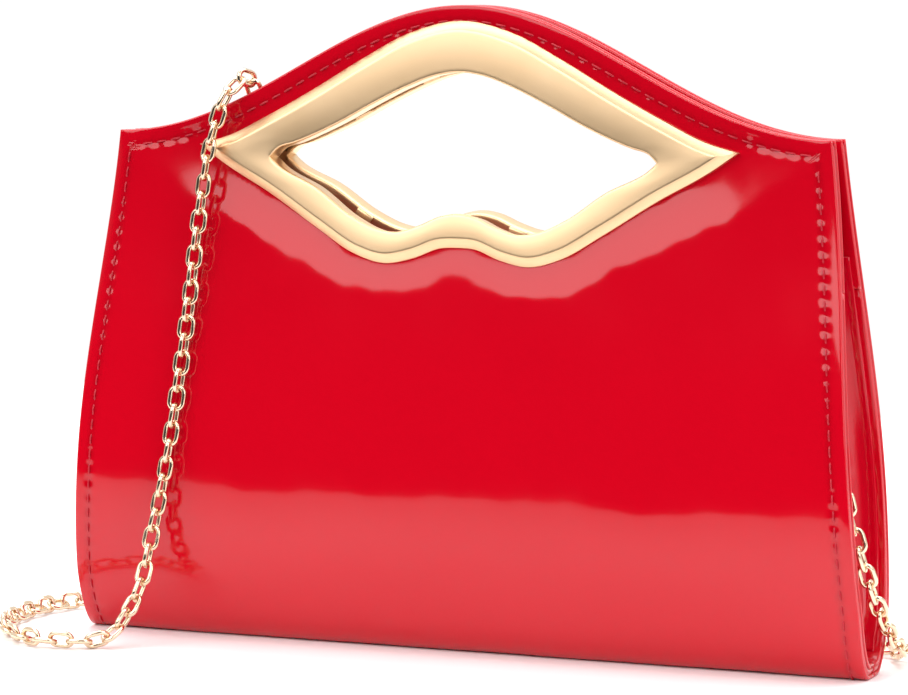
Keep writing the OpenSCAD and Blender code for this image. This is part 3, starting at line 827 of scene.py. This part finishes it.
stitch_tree, stitch_names = repeated("stitches", ["Length", "Thickness"], short_stitch, thread)
seam_line, seam_far = edge_line(stitch_inset)
first = stitch_pitch * 1.5
run = np.arange(first, seam_far[-1] - first, stitch_pitch)
where_to = np.stack([np.interp(run, seam_far, seam_line[:, k]) for k in (0, 1)], axis=1)
ahead_to = np.stack([np.interp(run + 0.001, seam_far, seam_line[:, k]) for k in (0, 1)], axis=1)
corner_at = np.array([top_width / 2 - stitch_inset, reach_of(corner_height) - stitch_inset])
clear = np.linalg.norm(np.abs(where_to) - corner_at, axis=1) > 0.0022
where_to, ahead_to = where_to[clear], ahead_to[clear]
for side, label in ((-1, "front"), (1, "back")):
    for face, depth in (("outer", 0.0), ("inner", 0.005)):
        sunk = sinks(where_to) if face == "outer" else 0
        sign = 1 if face == "outer" else -1
        level = depth + sunk - sign * 0.00002
        here = lay(side, where_to[:, 0], where_to[:, 1], level)
        there = lay(side, ahead_to[:, 0], ahead_to[:, 1], level)
        above = lay(side, where_to[:, 0], where_to[:, 1], level - sign * 0.001)
        kept = here[:, 2] > (0.0 if face == "outer" else 0.012)
        sewn = points_with_turns(f"stitches_{face}_{label}", here[kept],
                                 turns_from((there - here)[kept], (above - here)[kept]))
        made_of_repeats(sewn, stitch_tree, stitch_names, {"Length": 0.0034, "Thickness": 0.0006})
        if side < 0:
            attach(sewn, "bag")
        else:
            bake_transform(sewn)

# ---- Lip frames ---------------------------------------------------------------------------------
# A lip-shaped hand opening, cast in zinc and plated a warm gold: a bevelled face on the leather, a
# wall through the panel, and prongs folded over a flat backing ring inside.
warm_gold = plated("warm_gold", (0.86, 0.62, 0.38), 0.33, lean=0.85)
per_branch = 64


def spaced(line, count):
    """A line's points, a number of them at even distances."""
    far = np.concatenate([[0], np.cumsum(np.linalg.norm(np.diff(line, axis=0), axis=1))])
    at = np.linspace(0, 1, count) * far[-1]
    return np.stack([np.interp(at, far, line[:, k]) for k in (0, 1)], axis=1)


def loop_of(pair, by):
    """An outline's points, the same number on every loop, moved inward by a distance."""
    top, low = inset_pair(pair, by) if by else pair
    half = np.concatenate([spaced(top, per_branch), spaced(low, per_branch)[1:]])
    return np.concatenate([half, half[-2:0:-1] * (-1, 1)])


def between(first, second, share):
    return first * (1 - share) + second * share


# The frame's cross-section, from the leather over the bevel and the face to the wall's inner end:
# an outline, and how deep it lies in the wall.
lip_edge, rim_edge, hole_edge = loop_of(lip, 0.0031), loop_of(hole, -0.0008), loop_of(hole, 0)
section = [(loop_of(lip, 0), 0.0011), (loop_of(lip, 0), -0.0005), (loop_of(lip, 0.00012), -0.0007),
           (loop_of(lip, 0.0027), -0.00222), (loop_of(lip, 0.0029), -0.00234), (lip_edge, -0.0024)]
section += [(between(lip_edge, rim_edge, s), -0.0024 - 0.0001 * math.sin(math.pi * s))
            for s in (0.06, 0.25, 0.5, 0.75, 0.94)]
section += [(rim_edge, -0.0024), (loop_of(hole, -0.0006), -0.00237),
            (loop_of(hole, -0.0003), -0.0022), (loop_of(hole, -0.0001), -0.00195),
            (hole_edge, -0.0016), (hole_edge, 0.0005), (hole_edge, 0.0025), (hole_edge, 0.0046),
            (loop_of(hole, -0.0002), 0.0049), (loop_of(hole, -0.0005), 0.005),
            (loop_of(hole, -0.0012), 0.005), (loop_of(hole, -0.0013), 0.0045),
            (loop_of(hole, -0.0013), 0.0012)]
for side, label in ((-1, "front"), (1, "back")):
    rings = [lay(side, loop[:, 0], reach_of(loop[:, 1]), np.full(len(loop), depth))
             for loop, depth in section]
    n, m = len(rings[0]), len(rings)
    faces = [(r * n + k, r * n + (k + 1) % n, (r + 1) % m * n + (k + 1) % n, (r + 1) % m * n + k)
             for r in range(m) for k in range(n)]
    mesh = bpy.data.meshes.new(f"lip_frame_{label}")
    mesh.from_pydata(np.concatenate(rings).tolist(), [], faces)
    work = bmesh.new()
    work.from_mesh(mesh)
    hook = loop_of(hole, -0.0013)
    bend = [(0.0002, 0.0040), (0.0001, 0.0050), (0.0004, 0.0055), (0.0009, 0.0057),
            (0.0042, 0.00565), (0.0045, 0.0054), (0.0042, 0.0051), (0.0012, 0.0051)]
    for x_share in (0.16, 0.42):
        for sx in (-1, 1):
            for up_side in (True, False):
                half = range(per_branch) if up_side else range(per_branch - 1, 2 * per_branch - 1)
                at = min(half, key=lambda k: abs(hole_edge[k, 0] - x_share * lip_width / 2))
                k = at if sx > 0 else (n - at) % n
                mid, way = hole_edge[k], unit(hole_edge[(k + 1) % n] - hole_edge[k - 1])
                away = np.array([-way[1], way[0]])
                if away @ (hook[k] - mid) < 0:
                    away = -away
                ends = []
                for w in (-0.003, -0.0028, 0.0028, 0.003):
                    thin = 0.93 if abs(w) == 0.003 else 1
                    spots = np.array([mid + way * w + away * (0.002 + (o - 0.002) * thin)
                                      for o, _ in bend])
                    deep = np.array([0.005 + (d - 0.005) * thin for _, d in bend])
                    ends.append([work.verts.new(p) for p in
                                 lay(side, spots[:, 0], reach_of(spots[:, 1]), deep)])
                for one, other in zip(ends, ends[1:]):
                    for j in range(len(bend)):
                        work.faces.new((one[j], one[(j + 1) % len(bend)],
                                        other[(j + 1) % len(bend)], other[j]))
                work.faces.new(ends[0])
                work.faces.new(ends[-1][::-1])
    bmesh.ops.recalc_face_normals(work, faces=work.faces)
    for face in work.faces:
        face.smooth = True
    work.to_mesh(mesh)
    work.free()
    mesh.set_sharp_from_angle(angle=math.radians(38))
    piece = bpy.data.objects.new(mesh.name, mesh)
    bpy.context.collection.objects.link(piece)
    mesh.materials.append(warm_gold)
    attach(piece, "bag" if side < 0 else "back_panel")
    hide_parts(f"{label}_frame")
    refinish(f"{label}_backing_ring", warm_gold)

# ---- Magnetic snaps -----------------------------------------------------------------------------
# Near each top corner a turned brass stud on the front facing enters a magnet in a pressed cup on
# the back one. Steel washers inside the panels hold both.
steel = plated("bright_steel", (0.62, 0.62, 0.64), 0.24)


def finished_copy(node, finish, bevel):
    """A copy of a CAD piece with its edges broken, for metal that is tumbled before plating."""
    piece = frame["nodes"][node].copy()
    piece.data = piece.data.copy()
    piece.parent = None
    for key in list(piece.keys()):
        del piece[key]
    piece.name = node + "_finished"
    bpy.context.collection.objects.link(piece)
    work = bmesh.new()
    work.from_mesh(piece.data)
    bmesh.ops.remove_doubles(work, verts=work.verts, dist=2e-6)
    bmesh.ops.dissolve_limit(work, angle_limit=math.radians(2), verts=work.verts, edges=work.edges)
    bmesh.ops.recalc_face_normals(work, faces=work.faces)
    for face in work.faces:
        face.smooth = True
    work.to_mesh(piece.data)
    work.free()
    piece.data.set_sharp_from_angle(angle=math.radians(40))
    piece.data.materials.clear()
    piece.data.materials.append(finish)
    edge = piece.modifiers.new("broken_edge", "BEVEL")
    edge.width, edge.segments, edge.limit_method = bevel, 2, "ANGLE"
    edge.angle_limit = math.radians(40)
    edge.harden_normals = True
    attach(piece, frame["nodes"][node]["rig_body"])
    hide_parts(node)
    return piece


for node, finish, slot in (("snap_studs", warm_gold, "gold_plate"),
                           ("snap_sockets", warm_gold, "gold_plate"),
                           ("snap_magnets", steel, "steel")):
    finished_copy(node, finish, 0.00025)
for node in ("snap_stud_washers", "snap_socket_washers"):
    refinish(node, steel)

# ---- Chain tabs, rings and clasps ---------------------------------------------------------------
# A narrow strap folded through a round wire ring is sewn to each side of the front lining. A
# swivel clasp with a sprung gate hooks each ring and holds the chain's last link in its eye.
tab_leather, bench, where = new_finish("tab_leather")
pores = bench.noise(where, 700, 3)
surfaced(bench, Base_Color=bench.blend(pores, (0.2, 0.003, 0.012), (0.34, 0.006, 0.02)),
         Roughness=0.34 + pores * 0.2, Normal=bench.relief(pores * 0.05))
for end in ("left", "right"):
    tab = finished_copy(f"chain_tab_{end}", tab_leather, 0.0003)
    ring = finished_copy(f"chain_ring_{end}", warm_gold, 0.0001)
    ring.modifiers.clear()
    ring.data.set_sharp_from_angle(angle=math.radians(179))
    for part, bevel in (("clasp_hook", 0.0003), ("clasp_gate", 0.0002)):
        finished_copy(f"{part}_{end}", warm_gold, bevel)
    eye = finished_copy(f"clasp_eye_{end}", warm_gold, 0.0001)
    eye.modifiers.clear()
    refinish(f"clasp_pin_{end}", steel)

# ---- Slip pocket --------------------------------------------------------------------------------
# A flat patch of the lining twill, hemmed at its mouth and sewn to the back lining on three sides.
pocket_width, pocket_low, pocket_high = 0.12, 0.045, 0.104
columns, rows = 61, 31
px = np.linspace(-pocket_width / 2, pocket_width / 2, columns)
pu = np.linspace(reach_of(pocket_low), reach_of(pocket_high), rows)
gx, gu = np.meshgrid(px, pu)
loose = (1 - (2 * gx / pocket_width)**2) * np.clip((gu - pu[0]) / (pu[-1] - pu[0]), 0, 1)**2
hem = 0.0002 * (gu > pu[-1] - 0.009)
gape = 0.0012 * loose * (1 + 0.3 * np.sin(gx * 140))
layers = [lay(1, gx.ravel(), gu.ravel(), (0.0052 + gape + (0.0006 + hem) * k / 4).ravel())
          for k in range(5)]
quads = [q[::-1] for q in grid_quads(rows, columns)]
pocket = closed_shell("pocket_patch", layers, quads, np.zeros((rows * columns, 3)))
pocket.data.materials.append(twill)
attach(pocket, "back_panel")
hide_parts("slip_pocket")

# ---- Floor and light ----------------------------------------------------------------------------
# A white table that ends in front of the bag, with painted shade greying that end so that the
# base mirrors less white, a large soft light high at the front, one overhead, one at the right
# front, and a room that is white behind the bag and dark in front of it.
floor_white, bench, where = new_finish("white_table")
grain = bench.noise(where, 3, 2)
# Painted shade: the table's colour falls from white to grey over its front strip, standing in for
# light falling off there.
front_painted_shade = bench.node("ShaderNodeMapRange", None, {
    "Value": bench.node("ShaderNodeSeparateXYZ", None, {"Vector": where}, out="Y"),
    "From Min": -0.25, "From Max": -0.1})
white = bench.blend(grain, (0.94, 0.94, 0.94), (0.97, 0.97, 0.97))
surfaced(bench, Base_Color=bench.blend(front_painted_shade, (0.6, 0.6, 0.6), white),
         Roughness=0.4, Specular_IOR_Level=0.2)
floor_mesh = bpy.data.meshes.new("floor")
floor_corners = [(-1.5, -0.25, 0), (1.5, -0.25, 0), (1.5, 0.7, 0), (-1.5, 0.7, 0)]
floor_mesh.from_pydata(floor_corners, [], [(0, 1, 2, 3)])
floor_mesh.materials.append(floor_white)
floor = bpy.data.objects.new("floor", floor_mesh)
bpy.context.collection.objects.link(floor)


def soft_light(name, place, aim, width, height, radiance):
    """A large rectangular light, as bright all over whatever its size."""
    light = bpy.data.lights.new(name, "AREA")
    light.shape, light.size, light.size_y = "RECTANGLE", width, height
    light.energy = radiance * math.pi * width * height
    lamp = bpy.data.objects.new(name, light)
    lamp.location = place
    lamp.rotation_euler = (Vector(aim) - Vector(place)).to_track_quat("-Z", "Y").to_euler()
    bpy.context.collection.objects.link(lamp)


soft_light("high_front", (-0.5, -1.3, 1.12), (0, 0, 0.1), 2.2, 1.18, 3.1)
soft_light("overhead", (0, 0.35, 1.4), (0, 0.2, 0), 2.6, 1.3, 3.0)
soft_light("right_side", (1.3, -0.8, 0.7), (0, 0, 0.1), 0.8, 1.0, 2.6)
world = bpy.data.worlds.new("studio")
bpy.context.scene.world = world
world.use_nodes = True
world.node_tree.nodes.clear()
bench = Bench(world.node_tree)
way = bench.node("ShaderNodeTexCoord", out="Generated")
back_way = bench.node("ShaderNodeSeparateXYZ", None, {"Vector": way}, out="Y")
room = bench.node("ShaderNodeMapRange", {"interpolation_type": "SMOOTHSTEP"}, {
    "Value": back_way, "From Min": -0.72, "From Max": -0.2, "To Min": 0.045, "To Max": 0.97})
seen = bench.node("ShaderNodeLightPath", out="Is Camera Ray")
strength = room * (1 - seen) + seen * 1.02
shader = bench.node("ShaderNodeBackground", None, {"Color": (1, 1, 1, 1), "Strength": strength})
end = world.node_tree.nodes.new("ShaderNodeOutputWorld")
world.node_tree.links.new(shader.socket, end.inputs["Surface"])
